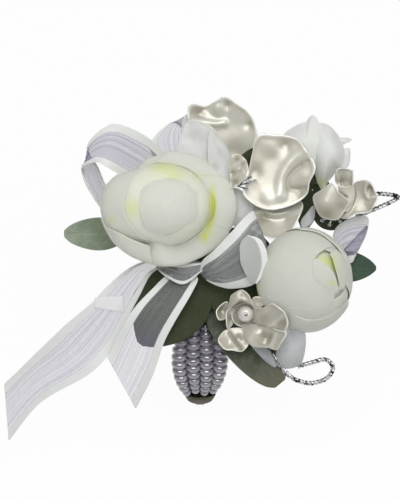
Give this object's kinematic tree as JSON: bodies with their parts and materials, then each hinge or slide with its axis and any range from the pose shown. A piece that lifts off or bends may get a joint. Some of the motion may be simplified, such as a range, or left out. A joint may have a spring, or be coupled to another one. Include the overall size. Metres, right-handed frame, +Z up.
{
  "type": "wrist corsage",
  "caption": "Wrist corsage of ivory silk blooms, pearl-lacquered flowers, sage leaves, sheer ribbon and wire loops on a beaded elastic band.",
  "frame": {"origin": "the middle of the wrist opening, on the band's own axis", "axes": "+X along the wrist, +Z up through the base plate to the flowers, the front of the spray toward -Y"},
  "size_m": [0.1653, 0.1004, 0.1259],
  "materials": {
    "silk": "soft matt silk with a yellow-green heart",
    "pearl_lacquer": "pearl lacquer",
    "leaf": "napped velvet leaf",
    "stem_tape": "green floral tape",
    "ribbon": "sheer woven centre with satin edges",
    "silver_wire": "polished and hammered",
    "bead": "mauve-silver mirror coat",
    "antique_gold": "antique brass with a polished rim",
    "felt": "felt",
    "elastic": "ribbed elastic"
  },
  "bodies": {
    "corsage": {"base_plate": "antique_gold", "felt_pad": "felt", "elastic_strap": "elastic", "stem_wrap": "stem_tape", "large_bloom_stem": "stem_tape", "medium_bloom_stem": "stem_tape", "rosebud_stem": "stem_tape", "pearl_flower_stem": "stem_tape", "right_pearl_stem": "stem_tape", "lower_pearl_stem": "stem_tape", "large_bloom_core": "silk", "medium_bloom_core": "silk", "rosebud_core": "silk", "large_bloom_heart_petal_1": "silk", "large_bloom_heart_petal_2": "silk", "large_bloom_cup_petal_1": "silk", "large_bloom_cup_petal_2": "silk", "large_bloom_cup_petal_3": "silk", "large_bloom_flared_petal_1": "silk", "large_bloom_flared_petal_2": "silk", "medium_bloom_petal_1": "silk", "medium_bloom_petal_2": "silk", "medium_bloom_petal_3": "silk", "rosebud_petal_1": "silk", "rosebud_petal_2": "silk", "rosebud_petal_3": "silk", "satin_petal": "silk", "pearl_flower_top_petal": "pearl_lacquer", "pearl_flower_right_petal": "pearl_lacquer", "pearl_flower_lower_petal": "pearl_lacquer", "pearl_flower_throat": "pearl_lacquer", "lower_pearl_flower": "pearl_lacquer", "right_pearl_flower": "pearl_lacquer", "lower_pearl_bead": "pearl_lacquer", "pearl_flower_stamens": "silver_wire", "right_wire_loop": "silver_wire", "bottom_wire_loop": "silver_wire", "left_leaf": "leaf", "centre_leaf": "leaf", "bottom_leaf": "leaf", "right_leaf": "leaf", "shade_leaf": "leaf", "inner_leaf": "leaf", "ribbon_knot": "ribbon", "left_loop": "ribbon", "back_loop": "ribbon", "centre_loop": "ribbon", "right_loop": "ribbon"},
    "front_panel": {"front_strand_1": "bead", "front_strand_2": "bead", "front_strand_3": "bead", "front_strand_4": "bead", "front_end_cap": "antique_gold"},
    "back_panel": {"back_strand_1": "bead", "back_strand_2": "bead", "back_strand_3": "bead", "back_strand_4": "bead", "back_end_cap": "antique_gold"},
    "long_tail": {"long_tail": "ribbon"},
    "short_tail": {"short_tail": "ribbon"}
  },
  "joints": [
    {"name": "front_panel_stretch", "type": "hinge", "parent": "corsage", "child": "front_panel", "pos_m": [0, -0.0104, 0.0313], "axis": [-1, 0, 0], "range_deg": [0, 10], "stiffness_Nm_per_rad": 0.05, "deforming": ["elastic_strap"]},
    {"name": "back_panel_stretch", "type": "hinge", "parent": "corsage", "child": "back_panel", "pos_m": [0, 0.0104, 0.0313], "axis": [1, 0, 0], "range_deg": [0, 10], "deforming": ["elastic_strap"]},
    {"name": "long_tail_lift", "type": "hinge", "parent": "corsage", "child": "long_tail", "pos_m": [-0.0096, -0.00281, 0.04521], "axis": [-0.6816, 0.5605, 0.4703], "range_deg": [0, 25], "stiffness_Nm_per_rad": 0.004},
    {"name": "short_tail_lift", "type": "hinge", "parent": "corsage", "child": "short_tail", "pos_m": [-0.004, -0.00778, 0.04522], "axis": [-0.8645, 0.385, 0.3231], "range_deg": [0, 25], "stiffness_Nm_per_rad": 0.004}
  ],
  "couplings": [
    {"joint": "back_panel_stretch", "follows": "front_panel_stretch", "ratio": 1}
  ]
}
